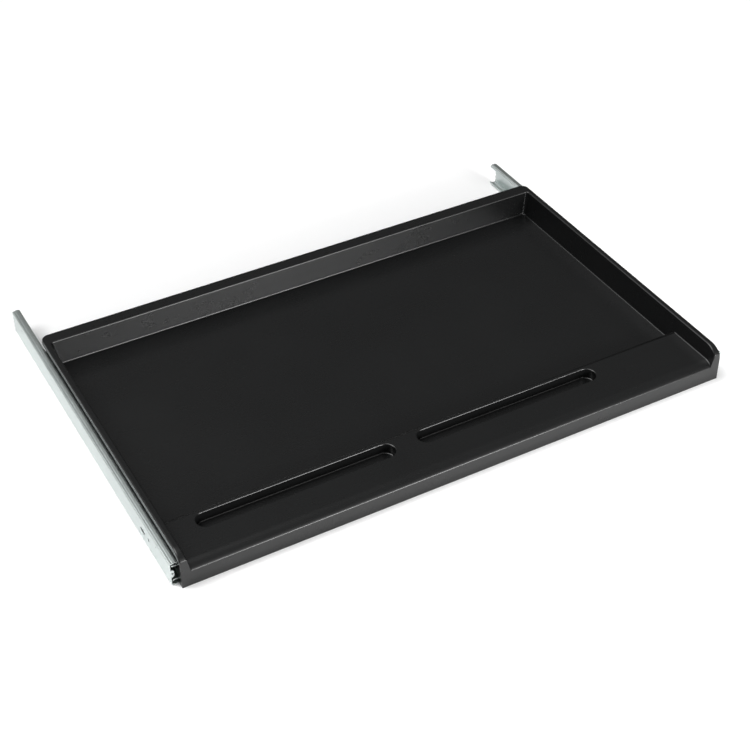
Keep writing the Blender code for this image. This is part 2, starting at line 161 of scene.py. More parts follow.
class DrawerTraySettings(bpy.types.PropertyGroup):
    floor_top: FloatProperty(
        name="Floor", description="Height of the floor", default=9.6 * MM, unit="LENGTH"
    )
    floor_thickness: FloatProperty(
        name="Floor thickness", description="Thickness of the floor", default=3 * MM, unit="LENGTH"
    )
    side_wall: FloatProperty(
        name="Side wall", description="Top width of a side wall", default=6 * MM, unit="LENGTH"
    )
    side_draft: FloatProperty(
        name="Side draft", description="How far a side wall leans out", default=4 * MM, unit="LENGTH"
    )
    back_wall: FloatProperty(
        name="Back wall", description="Top width of the back wall", default=14.5 * MM, unit="LENGTH"
    )
    back_draft: FloatProperty(
        name="Back draft", description="How far the back wall leans", default=2.5 * MM, unit="LENGTH"
    )
    deck_top: FloatProperty(
        name="Deck", description="Height of the front deck", default=20.5 * MM, unit="LENGTH"
    )
    deck_depth: FloatProperty(
        name="Deck depth", description="Depth of the front deck", default=58 * MM, unit="LENGTH"
    )
    ramp: FloatProperty(name="Ramp", description="Length of the ramp", default=11 * MM, unit="LENGTH")
    nose: FloatProperty(
        name="Nose", description="Radius of the curve up to the deck", default=14 * MM, unit="LENGTH"
    )
    cheek: FloatProperty(
        name="Cheek", description="Radius of the curve up to a rim", default=20 * MM, unit="LENGTH"
    )
    front_edge: FloatProperty(
        name="Front edge", description="Radius of the tight front edge", default=1.4 * MM, unit="LENGTH"
    )
    pocket_gap: FloatProperty(
        name="Pocket gap", description="Room above a slide", default=4.6 * MM, unit="LENGTH"
    )
    back_corner: FloatProperty(
        name="Back corner",
        description="Outer radius of the back corners",
        default=8 * MM,
        unit="LENGTH",
    )
    inner_corner: FloatProperty(
        name="Inner corner",
        description="Inner radius of the back corners",
        default=3 * MM,
        unit="LENGTH",
    )
    edge: FloatProperty(
        name="Edge", description="Radius of moulded edges", default=1.3 * MM, unit="LENGTH"
    )
    slot_length: FloatProperty(
        name="Trough length", description="Length of a pen trough", default=193.5 * MM, unit="LENGTH"
    )
    slot_width: FloatProperty(
        name="Trough width", description="Width of a pen trough", default=18 * MM, unit="LENGTH"
    )
    slot_depth: FloatProperty(
        name="Trough depth", description="Depth of a pen trough", default=10.5 * MM, unit="LENGTH"
    )
    slot_gap: FloatProperty(
        name="Trough gap", description="Land between the troughs", default=25 * MM, unit="LENGTH"
    )
    slot_inset: FloatProperty(
        name="Trough inset",
        description="Land beside the first trough",
        default=24.5 * MM,
        unit="LENGTH",
    )
    slot_land: FloatProperty(
        name="Front land", description="Land in front of the troughs", default=37 * MM, unit="LENGTH"
    )
    rib: FloatProperty(name="Rib", description="Thickness of a rib", default=3 * MM, unit="LENGTH")
    columns: IntProperty(name="Columns", description="Hollows across the tray", default=6)
    rows: IntProperty(name="Rows", description="Hollows along the floor", default=3)
    colour: FloatVectorProperty(
        name="Plastic",
        description="Colour of the plastic",
        default=(0.0042, 0.0044, 0.0045),
        subtype="COLOR",
    )
    grain: FloatProperty(
        name="Grain", description="Size of the moulded grain", default=0.75 * MM, unit="LENGTH"
    )


class DrawerSlideSettings(bpy.types.PropertyGroup):
    sheet: FloatProperty(
        name="Sheet", description="Thickness of the channels", default=1 * MM, unit="LENGTH"
    )
    cage_sheet: FloatProperty(
        name="Cage sheet", description="Thickness of the cages", default=0.5 * MM, unit="LENGTH"
    )
    bend: FloatProperty(
        name="Bend", description="Middle radius of a bend", default=0.9 * MM, unit="LENGTH"
    )
    lip: FloatProperty(
        name="Lip", description="Height of the folded lip", default=3 * MM, unit="LENGTH"
    )
    race: FloatProperty(
        name="Race", description="How far the race stands out", default=0.5 * MM, unit="LENGTH"
    )
    play: FloatProperty(
        name="Ball play", description="Room round a ball in its cage", default=0.2 * MM, unit="LENGTH"
    )
    zinc: FloatVectorProperty(
        name="Zinc", description="Colour of the zinc plate", default=(0.58, 0.63, 0.62), subtype="COLOR"
    )
    strip: FloatVectorProperty(
        name="Cage strip", description="Colour of the cages", default=(0.5, 0.52, 0.52), subtype="COLOR"
    )
    nylon: FloatVectorProperty(
        name="Nylon", description="Colour of the bumpers", default=(0.66, 0.65, 0.58), subtype="COLOR"
    )


class DrawerStageSettings(bpy.types.PropertyGroup):
    place: FloatVectorProperty(
        name="Camera",
        description="Where the camera stands",
        default=(-0.553, -1.0419, 0.9284),
        unit="LENGTH",
    )
    turn: FloatVectorProperty(
        name="Turn",
        description="How the camera is turned, in degrees",
        default=(50.969, 0.483, -28.988),
    )
    lens: FloatProperty(name="Lens", description="Focal length in millimetres", default=72.77)
    floor: FloatVectorProperty(
        name="Floor", description="Colour of the floor", default=(0.92, 0.92, 0.92), subtype="COLOR"
    )
    key: FloatProperty(name="Key light", description="Power of the key light", default=22, unit="POWER")
    side: FloatProperty(
        name="Side light", description="Power of the side light", default=4, unit="POWER"
    )
    overhead: FloatProperty(name="Overhead", description="Glow of the canopy overhead", default=5.5)
    around: FloatProperty(name="Around", description="Glow of the walls up to the canopy", default=0.23)
    front: FloatProperty(name="Front", description="Glow of the front of the room", default=3)


# Shader nodes


class Value:
    """A shader socket that takes part in ordinary arithmetic."""

    def __init__(self, net, socket):
        self.net = net
        self.socket = socket

    def combine(self, operation, first, second):
        return self.net.node("ShaderNodeMath", {"operation": operation}, {0: first, 1: second})

    def __add__(self, other):
        return self.combine("ADD", self, other)

    def __radd__(self, other):
        return self.combine("ADD", other, self)

    def __sub__(self, other):
        return self.combine("SUBTRACT", self, other)

    def __rsub__(self, other):
        return self.combine("SUBTRACT", other, self)

    def __mul__(self, other):
        return self.combine("MULTIPLY", self, other)

    def __rmul__(self, other):
        return self.combine("MULTIPLY", other, self)


class Net:
    """The nodes of one material or of the surroundings."""

    def __init__(self, owner, shader="Principled BSDF"):
        owner.use_nodes = True
        self.owner = owner
        self.nodes = owner.node_tree.nodes
        self.links = owner.node_tree.links
        self.shader = self.nodes[shader]

    def put(self, socket, value):
        if isinstance(value, Value):
            self.links.new(value.socket, socket)
        else:
            socket.default_value = value

    def node(self, kind, settings=None, sockets=None, output=0):
        """A node of one type, its settings first, then its sockets."""
        made = self.nodes.new(kind)
        for name, value in (settings or {}).items():
            if name == "stops":
                for element, (place, shade) in zip(made.color_ramp.elements, value):
                    element.position = place
                    element.color = (shade, shade, shade, 1)
            else:
                setattr(made, name, value)
        for name, value in (sockets or {}).items():
            self.put(made.inputs[name], value)
        return Value(self, made.outputs[output])

    def place(self, scale=(1, 1, 1)):
        """The point on the piece, in metres, stretched along each axis."""
        point = self.node("ShaderNodeTexCoord", output=3)
        return self.node("ShaderNodeVectorMath", {"operation": "MULTIPLY"}, {0: point, 1: scale})

    def noise(self, place, scale, detail=2, roughness=0.5):
        sockets = {"Vector": place, "Scale": scale, "Detail": detail, "Roughness": roughness}
        return self.node("ShaderNodeTexNoise", None, sockets)

    def cells(self, place, scale):
        return self.node("ShaderNodeTexVoronoi", None, {"Vector": place, "Scale": scale})

    def ramp(self, value, low, high):
        """A mask that goes from nothing to full between two values."""
        return self.node("ShaderNodeValToRGB", {"stops": ((low, 0), (high, 1))}, {"Fac": value})

    def mix(self, mask, first, second):
        """A colour between two colours."""
        mixed = self.nodes.new("ShaderNodeMix")
        mixed.data_type = "RGBA"
        self.put(mixed.inputs["Factor"], mask)
        self.put(mixed.inputs[6], first if isinstance(first, Value) else (*first, 1))
        self.put(mixed.inputs[7], second if isinstance(second, Value) else (*second, 1))
        return Value(self, mixed.outputs[2])

    def bump(self, height, strength, distance):
        sockets = {"Height": height, "Strength": strength, "Distance": distance}
        return self.node("ShaderNodeBump", None, sockets)

    def done(self, **sockets):
        """Set the shader's own sockets and hand over the material."""
        names = {"colour": "Base Color", "ior": "IOR"}
        for name, value in sockets.items():
            self.put(self.shader.inputs[names.get(name, name.capitalize())], value)
        return self.owner


def shade(colour, factor):
    """A colour made lighter or darker."""
    return tuple(min(channel * factor, 1) for channel in colour)


def moulded_plastic(settings):
    """Black plastic with the fine grain of an etched mould and a few dull rubs."""
    net = Net(bpy.data.materials.new("moulded_black_plastic"))
    place = net.place()
    grain = net.cells(place, 1 / settings.grain)
    pores = net.noise(place, 2.2 / settings.grain, 3, 0.6)
    cloud = net.noise(place, 11, 4)
    rubs = net.noise(net.place((9, 60, 9)), 6, 5, 0.62)
    rubbed = net.ramp(rubs, 0.58, 0.78)
    dust = net.ramp(net.noise(place, 420, 2), 0.62, 0.8)
    colour = net.mix(cloud, shade(settings.colour, 0.86), shade(settings.colour, 1.16))
    colour = net.mix(rubbed * 0.3, colour, shade(settings.colour, 1.7))
    colour = net.mix(dust * 0.18, colour, shade(settings.colour, 3.2))
    roughness = 0.22 + 0.08 * cloud - 0.04 * rubbed + 0.05 * pores
    normal = net.bump(grain * 0.5 + pores * 0.5, 0.14, 0.12 * MM)
    return net.done(colour=colour, roughness=roughness, normal=normal, ior=1.5)


def zinc_plate(settings):
    """Zinc plated strip: long rolling lines, faint crystals and duller patches."""
    net = Net(bpy.data.materials.new("zinc_plated_strip"))
    place = net.place()
    lines = net.noise(net.place((1, 0.012, 1)), 1900, 3, 0.6)
    crystals = net.cells(place, 330)
    patches = net.noise(net.place((1, 0.35, 1)), 42, 4, 0.55)
    stain = net.ramp(net.noise(place, 19, 4), 0.55, 0.75)
    colour = net.mix(patches, shade(settings.zinc, 0.86), shade(settings.zinc, 1.1))
    colour = net.mix(crystals * 0.22, colour, shade(settings.zinc, 1.2))
    colour = net.mix(stain * 0.3, colour, (0.55, 0.6, 0.56))
    roughness = 0.26 + 0.12 * patches + 0.1 * lines
    normal = net.bump(lines * 0.7 + patches * 0.3, 0.1, 0.05 * MM)
    return net.done(colour=colour, roughness=roughness, normal=normal, metallic=1)


def bright_strip(settings):
    """Unplated cage strip, drawn smooth, with a film of oil."""
    net = Net(bpy.data.materials.new("bright_cage_strip"))
    lines = net.noise(net.place((1, 0.02, 1)), 1500, 3)
    film = net.noise(net.place(), 60, 4)
    colour = net.mix(film, shade(settings.strip, 0.8), shade(settings.strip, 1.1))
    roughness = 0.3 + 0.14 * lines
    normal = net.bump(lines, 0.08, 0.04 * MM)
    return net.done(colour=colour, roughness=roughness, normal=normal, metallic=1)


def ball_steel(settings):
    """Polished steel with hair lines and traces of grease."""
    net = Net(bpy.data.materials.new("polished_ball_steel"))
    grease = net.noise(net.place(), 700, 3)
    hairs = net.noise(net.place((1, 0.2, 1)), 5200, 2)
    colour = net.mix(grease, (0.66, 0.67, 0.68), (0.82, 0.83, 0.85))
    normal = net.bump(hairs, 0.03, 0.01 * MM)
    return net.done(colour=colour, roughness=0.08 + 0.14 * grease, normal=normal, metallic=1)


def screw_zinc(settings):
    """The brighter plate on the screws, rubbed where a driver turned them."""
    net = Net(bpy.data.materials.new("plated_screw_steel"))
    rub = net.noise(net.place(), 900, 4)
    colour = net.mix(rub, shade(settings.zinc, 0.72), shade(settings.zinc, 1.05))
    normal = net.bump(rub, 0.08, 0.03 * MM)
    return net.done(colour=colour, roughness=0.24 + 0.2 * rub, normal=normal, metallic=1)


def natural_nylon(settings):
    """Uncoloured nylon, a little cloudy."""
    net = Net(bpy.data.materials.new("natural_nylon"))
    cloud = net.noise(net.place(), 160, 4)
    grain = net.noise(net.place(), 2600, 2)
    colour = net.mix(cloud, shade(settings.nylon, 0.88), shade(settings.nylon, 1.1))
    normal = net.bump(grain, 0.1, 0.05 * MM)
    return net.done(colour=colour, roughness=0.42 + 0.12 * cloud, normal=normal)


def pale_floor(settings):
    """A plain pale studio floor."""
    net = Net(bpy.data.materials.new("pale_floor"))
    cloud = net.noise(net.place(), 3, 2)
    colour = net.mix(cloud, shade(settings.floor, 0.99), settings.floor)
    return net.done(colour=colour, roughness=0.75 + 0.05 * cloud)


def span(value, fade, low, high):
    """The sockets of a map from one range to another."""
    return {"Value": value, "From Min": fade[0], "From Max": fade[1], "To Min": low, "To Max": high}


def surroundings(settings):
    """A dim room with a glowing canopy above, a little behind, and a softer glow low in front."""
    net = Net(bpy.data.worlds.new("soft_surroundings"), "Background")
    way = net.node("ShaderNodeTexCoord")
    rise = net.node("ShaderNodeSeparateXYZ", None, {0: way}, 2)
    walls = span(rise, WALL_FADE, settings.around / LOW_WALL_DIM, settings.around)
    above = net.node("ShaderNodeVectorMath", {"operation": "DOT_PRODUCT"}, {0: way, 1: CANOPY_WAY}, 1)
    canopy = span(above, CANOPY_FADE, 0, settings.overhead)
    smooth = {"interpolation_type": "SMOOTHSTEP"}
    glow = net.node("ShaderNodeMapRange", smooth, walls)
    glow = glow + net.node("ShaderNodeMapRange", smooth, canopy)
    toward = net.node("ShaderNodeVectorMath", {"operation": "DOT_PRODUCT"}, {0: way, 1: FRONT_WAY}, 1)
    front = span(toward, FRONT_FADE, 0, settings.front)
    glow = glow + net.node("ShaderNodeMapRange", smooth, front)
    return net.done(color=(1, 1, 1, 1), strength=glow)


# Mesh helpers


def arc(centre, radius, start, end, steps):
    """Points on a circle between two angles in degrees."""
    points = []
    for step in range(steps + 1):
        angle = math.radians(start + (end - start) * step / steps)
        points.append((centre[0] + radius * math.cos(angle), centre[1] + radius * math.sin(angle)))
    return points


def skin(shape, first, second):
    """Close two matching rings of points into a solid."""
    low = [shape.verts.new(point) for point in first]
    high = [shape.verts.new(point) for point in second]
    shape.faces.new(low)
    shape.faces.new(reversed(high))
    for index, corner in enumerate(low):
        shape.faces.new((corner, high[index], high[index - 1], low[index - 1]))
    return low, high


def add_box(shape, low, high):
    """Add a plain block between two corners."""
    ring = [(low[0], low[1]), (high[0], low[1]), (high[0], high[1]), (low[0], high[1])]
    skin(shape, [(*point, low[2]) for point in ring], [(*point, high[2]) for point in ring])


def add_rod(shape, x_from, x_to, y, z, radius, sides=32):
    """Add a round bar that lies along X."""
    ring = arc((y, z), radius, 0, 360, sides)[:-1]
    skin(shape, [(x_from, *point) for point in ring], [(x_to, *point) for point in ring])


def stadium(centre, length, width, steps=20):
    """A slot's outline: straight sides with a half round at each end."""
    half = (length - width) / 2
    right = arc((centre[0] + half, centre[1]), width / 2, -90, 90, steps)
    left = arc((centre[0] - half, centre[1]), width / 2, 90, 270, steps)
    return right + left


def round_edges(shape, edges, radius, segments=3):
    bmesh.ops.bevel(shape, geom=edges, offset=radius, segments=segments, profile=0.5, affect="EDGES")


def carve(shape, other, operation="DIFFERENCE"):
    """The solid left when another is taken from, or joined to, this one."""
    pair = []
    for part in (shape, other):
        bmesh.ops.recalc_face_normals(part, faces=part.faces)
        mesh = bpy.data.meshes.new("blank")
        part.to_mesh(mesh)
        part.free()
        blank = bpy.data.objects.new("blank", mesh)
        bpy.context.scene.collection.objects.link(blank)
        pair.append(blank)
    modifier = pair[0].modifiers.new("carve", "BOOLEAN")
    modifier.operation = operation
    modifier.solver = "EXACT"
    modifier.object = pair[1]
    graph = bpy.context.evaluated_depsgraph_get()
    result = bmesh.new()
    result.from_mesh(pair[0].evaluated_get(graph).data)
    for blank in pair:
        mesh = blank.data
        bpy.data.objects.remove(blank, do_unlink=True)
        bpy.data.meshes.remove(mesh)
    bmesh.ops.remove_doubles(result, verts=result.verts, dist=WELD)
    return result


def sharp_edges(shape, wanted):
    """Edges that turn sharply, if a test picks both of their ends."""
    found = []
    for edge in shape.edges:
        if len(edge.link_faces) == 2 and edge.calc_face_angle(0) > SHARP:
            if all(wanted(vert.co) for vert in edge.verts):
                found.append(edge)
    return found


def place_piece(name, shape, material, body, nodes):
    """Finish a piece: smooth faces, its material, its body and the nodes it stands for."""
    bmesh.ops.recalc_face_normals(shape, faces=shape.faces)
    mesh = bpy.data.meshes.new(name)
    shape.to_mesh(mesh)
    shape.free()
    mesh.shade_smooth()
    mesh.set_sharp_from_angle(angle=SHARP)
    mesh.materials.append(material)
    piece = bpy.data.objects.new(name, mesh)
    bpy.context.scene.collection.objects.link(piece)
    weighted = piece.modifiers.new("even_shading", "WEIGHTED_NORMAL")
    weighted.keep_sharp = True
    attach(piece, body)
    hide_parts(*nodes)
    return piece


# The tray


def floor_half(tray):
    return HALF_WIDTH - tray.side_wall - tray.side_draft


def inside_half_width(tray, z):
    """Half the space between the side walls, which lean out as they rise."""
    rise = max(z - tray.floor_top, 0) / (TRAY_HIGH[2] - tray.floor_top)
    return floor_half(tray) + tray.side_draft * rise


def upright_edges(rings, index):
    """The two edges that join one pair of neighbours on each ring."""
    found = []
    for ring in rings:
        for edge in ring[index].link_edges:
            if edge.other_vert(ring[index]) is ring[index - 1]:
                found.append(edge)
    return found


def front_profile(tray, top, radius):
    """A front edge seen from the side: upright, a tight corner, then a long curve to the top."""
    sweep = math.radians(FRONT_SWEEP)
    inset = tray.front_edge + (radius - tray.front_edge) * math.sin(sweep)
    rise = (radius - tray.front_edge) * math.cos(sweep)
    corner = (FRONT_Y + tray.front_edge, top - radius + rise)
    meeting = 180 - FRONT_SWEEP
    curve = arc((FRONT_Y + inset, top - radius), radius, meeting, 90, CURVE_STEPS)
    return arc(corner, tray.front_edge, 180, meeting, TIGHT_STEPS)[:-1] + curve


def tray_block(tray):
    shape = bmesh.new()
    top = TRAY_HIGH[2]
    outline = [(BACK_Y, top), (BACK_Y, 0), (FRONT_Y, 0)] + front_profile(tray, top, tray.cheek)
    rings = skin(
        shape,
        [(-HALF_WIDTH, *point) for point in outline],
        [(HALF_WIDTH, *point) for point in outline],
    )
    round_edges(shape, upright_edges(rings, 1), tray.back_corner, BACK_CORNER_STEPS)
    return shape


def tray_inside(tray):
    shape = bmesh.new()
    top = TRAY_HIGH[2] + CUT_PAST
    wall_top = BACK_Y - tray.back_wall
    lean = tray.back_draft / (TRAY_HIGH[2] - tray.floor_top)
    nose = front_profile(tray, tray.deck_top, tray.nose)
    outline = [(FRONT_Y - CUT_PAST, top), (FRONT_Y - CUT_PAST, nose[0][1])] + nose
    outline.append((FRONT_Y + tray.deck_depth, tray.deck_top))
    outline.append((FRONT_Y + tray.deck_depth + tray.ramp, tray.floor_top))
    outline.append((wall_top - tray.back_draft, tray.floor_top))
    outline.append((wall_top + lean * CUT_PAST, top))
    rings = skin(
        shape,
        [(-inside_half_width(tray, point[1]), *point) for point in outline],
        [(inside_half_width(tray, point[1]), *point) for point in outline],
    )
    corners = upright_edges(rings, len(outline) - 1)
    round_edges(shape, corners, tray.inner_corner, INNER_CORNER_STEPS)
    return shape


def pen_troughs(tray):
    shape = bmesh.new()
    bottom = tray.deck_top - tray.slot_depth
    first = -floor_half(tray) + tray.slot_inset + tray.slot_length / 2
    rims = []
    for index in range(TROUGH_COUNT):
        x = first + index * (tray.slot_length + tray.slot_gap)
        y = FRONT_Y + tray.slot_land + tray.slot_width / 2
        ring = stadium((x, y), tray.slot_length, tray.slot_width)
        low, _ = skin(
            shape,
            [(*point, bottom) for point in ring],
            [(*point, tray.deck_top + CUT_PAST) for point in ring],
        )
        rims += [shape.edges.get((low[place - 1], low[place])) for place in range(len(low))]
    round_edges(shape, rims, TROUGH_BOTTOM, TROUGH_STEPS)
    return shape


def add_cells(shape, tray, y_from, y_to, top, rows, half_width):
    """Add a grid of blocks that leaves ribs between them."""
    wide = (2 * half_width - (tray.columns - 1) * tray.rib) / tray.columns
    deep = (y_to - y_from - (rows - 1) * tray.rib) / rows
    for column in range(tray.columns):
        x = -half_width + column * (wide + tray.rib)
        for row in range(rows):
            y = y_from + row * (deep + tray.rib)
            add_box(shape, (x, y, -CUT_PAST), (x + wide, y + deep, top))


def tray_underside(tray):
    """The hollows under the deck, the floor and the back wall, with softened corners."""
    shape = bmesh.new()
    half_width = floor_half(tray) - SKIRT
    deck_end = FRONT_Y + tray.slot_land - tray.rib
    floor_end = BACK_Y - tray.back_wall - tray.back_draft - tray.rib
    deck_under = tray.deck_top - tray.rib
    floor_under = tray.floor_top - tray.floor_thickness
    front = FRONT_Y + SKIRT
    add_cells(shape, tray, front, deck_end - tray.rib, deck_under, 1, half_width)
    add_cells(shape, tray, deck_end, floor_end, floor_under, tray.rows, half_width)
    wall_from = BACK_Y - tray.back_wall + tray.rib
    add_cells(shape, tray, wall_from, BACK_Y - BACK_SKIN, TRAY_HIGH[2] - tray.rib, 1, half_width)
    round_edges(shape, shape.edges[:], HOLLOW_EDGE, HOLLOW_STEPS)
    return shape


def slide_pockets(tray):
    """The shallow pockets in the side walls that the slides lie in."""
    shape = bmesh.new()
    pocket = INNER_LOW[0] - SLIDE_ROOM
    top = RAIL_HIGH[2] + tray.pocket_gap
    for side in SIDES.values():
        ends = sorted((side * pocket, side * (HALF_WIDTH + CUT_PAST)))
        low = (ends[0], RAIL_LOW[1] - POCKET_END_ROOM, -CUT_PAST)
        add_box(shape, low, (ends[1], BACK_Y + CUT_PAST, top))
    return shape


def screw_bores():
    """Blind bores in the side walls for the screws."""
    shape = bmesh.new()
    for name, side in SIDES.items():
        for number in range(1, SCREWS_PER_SIDE + 1):
            low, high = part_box(f"{name}_screw_{number}")
            y, z = (low[1] + high[1]) / 2, (low[2] + high[2]) / 2
            inner = min(abs(low[0]), abs(high[0])) - SLIDE_ROOM
            add_rod(shape, side * inner, side * (INNER_LOW[0] + CUT_PAST), y, z, SCREW_HOLE)
    return shape


class DRAWER_OT_tray(bpy.types.Operator):
    """Build the moulded tray with its rounded edges, troughs and ribs"""

    bl_idname = "drawer.tray"
    bl_label = "Tray"

    def execute(self, context):
        tray = context.scene.drawer_tray
        shape = carve(carve(tray_block(tray), tray_inside(tray)), pen_troughs(tray))
        ends, edges = shape.verts, shape.edges
        bmesh.ops.dissolve_limit(shape, angle_limit=FLAT, verts=ends, edges=edges, delimit=set())
        round_edges(shape, sharp_edges(shape, lambda end: end.z > WELD), tray.edge, EDGE_STEPS)
        # Where a hollow and a proud edge meet, the rounding would stand past the front
        for vert in shape.verts:
            vert.co.y = max(vert.co.y, FRONT_Y)
        for hollow in (tray_underside(tray), slide_pockets(tray), screw_bores()):
            shape = carve(shape, hollow)
        plastic = moulded_plastic(tray)
        place_piece("moulded_tray", shape, plastic, "tray_carriage", ["tray"])
        return {"FINISHED"}


# The slides


def round_corner(before, corner, after, radius, steps=6):
    """The middle line of a bend, as an arc that touches both straight legs."""
    corner = Vector(corner)
    ways = [(Vector(end) - corner).normalized() for end in (before, after)]
    opening = ways[0].angle(ways[1])
    reach = radius / math.tan(opening / 2)
    centre = corner + (ways[0] + ways[1]).normalized() * radius / math.sin(opening / 2)
    start = corner + ways[0] * reach - centre
    end = corner + ways[1] * reach - centre
    turn = (math.atan2(end.y, end.x) - math.atan2(start.y, start.x) + math.pi) % math.tau - math.pi
    first = math.degrees(math.atan2(start.y, start.x))
    return arc(centre, radius, first, first + math.degrees(turn), steps)


def bent_sheet(corners, sheet, bends):
    """The section of a folded strip, from the corners of its middle line."""
    middle = [corners[0]]
    for before, corner, after, bend in zip(corners, corners[1:], corners[2:], bends):
        middle += round_corner(before, corner, after, bend)
    middle.append(corners[-1])
    sides = ([], [])
    for index, point in enumerate(middle):
        back = middle[max(index - 1, 0)]
        ahead = middle[min(index + 1, len(middle) - 1)]
        reach = math.dist(back, ahead)
        across = ((back[1] - ahead[1]) / reach, (ahead[0] - back[0]) / reach)
        for way, side in zip((1, -1), sides):
            offset = way * sheet / 2
            side.append((point[0] + across[0] * offset, point[1] + across[1] * offset))
    return sides[0] + sides[1][::-1]


def folded_strip(side, corners, sheet, bends, front, back):
    """A strip folded along its length, on one side of the drawer."""
    shape = bmesh.new()
    section = bent_sheet(corners, sheet, bends)
    rings = []
    for y in (front, back):
        rings.append([(side * (RAIL_X - inset), y, SLIDE_MIDDLE + rise) for inset, rise in section])
    skin(shape, *rings)
    return shape


def mirrored(half):
    """A middle line whose lower half mirrors its upper half."""
    return half + [(inset, -rise) for inset, rise in reversed(half)]


def outer_section(slide):
    """Web, shallow step, raised race, step and lip, from the lip inwards."""
    width = RAIL_HIGH[0] - RAIL_LOW[0]
    edge = SLIDE_HALF - slide.sheet / 2
    low = edge - slide.race
    lip = width - slide.sheet / 2
    web = slide.sheet / 2
    half = [(lip, SLIDE_HALF - slide.lip), (lip, low), (RACE_END + RACE_SLOPE, low), (RACE_END, edge)]
    half += [(RACE_START, edge), (RACE_START - RACE_SLOPE, low), (web, low)]
    bends = [slide.bend, *[RACE_SLOPE] * 4, slide.bend]
    return mirrored(half), bends + bends[::-1]


def stop_tab(side, slide):
    """The rounded tab folded in from the front end of the web, with its small hole."""
    shape = bmesh.new()
    low_y = RAIL_LOW[1] + TAB_FRONT
    high_y = RAIL_LOW[1] + TAB_BACK
    corner = (slide.sheet + TAB_BEND, TAB_HALF - TAB_CORNER)
    outline = [(slide.sheet / 2, -TAB_HALF)]
    outline += arc((corner[0], -corner[1]), TAB_CORNER, -90, 0, 8)
    outline += arc(corner, TAB_CORNER, 0, 90, 8)
    outline.append((slide.sheet / 2, TAB_HALF))
    points = [(side * (RAIL_X - inset), SLIDE_MIDDLE + rise) for inset, rise in outline]
    skin(shape, *[[(x, y, z) for x, z in points] for y in (low_y, high_y)])
    hole = bmesh.new()
    centre = (side * (RAIL_X - slide.sheet - TAB_HOLE_INSET), SLIDE_MIDDLE)
    ring = arc(centre, TAB_HOLE_RADIUS, 0, 360, 20)[:-1]
    skin(hole, *[[(x, y, z) for x, z in ring] for y in (low_y - CUT_PAST, high_y + CUT_PAST)])
    return carve(shape, hole)


def web_holes(side, slide):
    """The mounting slot, the pilot hole, the coined marks and the scalloped back end of the web."""
    shape = bmesh.new()
    ends = [side * (RAIL_X + CUT_PAST), side * (RAIL_X - slide.sheet - CUT_PAST)]
    ring = stadium((RAIL_LOW[1] + SLOT_FROM_END, SLIDE_MIDDLE), SLOT_LENGTH, SLOT_WIDTH)
    skin(shape, [(ends[0], *point) for point in ring], [(ends[1], *point) for point in ring])
    add_rod(shape, *ends, RAIL_LOW[1] + PILOT_FROM_END, SLIDE_MIDDLE, PILOT_RADIUS)
    for along, rise in COINED_PLACES:
        y, z = RAIL_LOW[1] + along * MM, SLIDE_MIDDLE + rise * MM
        add_rod(shape, ends[0], side * (RAIL_X - COINED_DEPTH), y, z, COINED_RADIUS)
    for rise in SCALLOP_RISES:
        add_rod(shape, *ends, RAIL_HIGH[1], SLIDE_MIDDLE + rise, SCALLOP_RADIUS)
    return shape


class DRAWER_OT_outer_channels(bpy.types.Operator):
    """Build the channels that are fixed to the desk"""

    bl_idname = "drawer.outer_channels"
    bl_label = "Outer Channels"

    def execute(self, context):
        slide = context.scene.drawer_slides
        zinc = zinc_plate(slide)
        for name, side in SIDES.items():
            corners, bends = outer_section(slide)
            shape = folded_strip(side, corners, slide.sheet, bends, RAIL_LOW[1], RAIL_HIGH[1])
            shape = carve(shape, stop_tab(side, slide), "UNION")
            shape = carve(shape, web_holes(side, slide))
            node = f"{name}_outer_channel"
            place_piece(f"{name}_desk_channel", shape, zinc, "desk_rails", [node])
        return {"FINISHED"}


class DRAWER_OT_inner_channels(bpy.types.Operator):
    """Build the channels that are screwed to the tray"""

    bl_idname = "drawer.inner_channels"
    bl_label = "Inner Channels"

    def execute(self, context):
        slide = context.scene.drawer_slides
        zinc = zinc_plate(slide)
        for name, side in SIDES.items():
            half_sheet = slide.sheet / 2
            lip = RAIL_X - INNER_HIGH[0] + half_sheet
            web = RAIL_X - INNER_LOW[0] - half_sheet
            tip = (INNER_HIGH[2] - INNER_LOW[2]) / 2
            edge = tip - INNER_LIP_RISE - half_sheet
            corners = mirrored([(lip, tip), (lip, edge), (web, edge)])
            bends = [slide.bend] * 4
            shape = folded_strip(side, corners, slide.sheet, bends, INNER_LOW[1], INNER_HIGH[1])
            holes = bmesh.new()
            for number in range(1, SCREWS_PER_SIDE + 1):
                low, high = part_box(f"{name}_screw_{number}")
                y = (low[1] + high[1]) / 2
                ends = [side * (RAIL_X - web - way * (half_sheet + CUT_PAST)) for way in (-1, 1)]
                add_rod(holes, *ends, y, SLIDE_MIDDLE, SCREW_HOLE)
            shape = carve(shape, holes)
            node = f"{name}_inner_channel"
            place_piece(f"{name}_tray_channel", shape, zinc, "tray_carriage", [node])
        return {"FINISHED"}


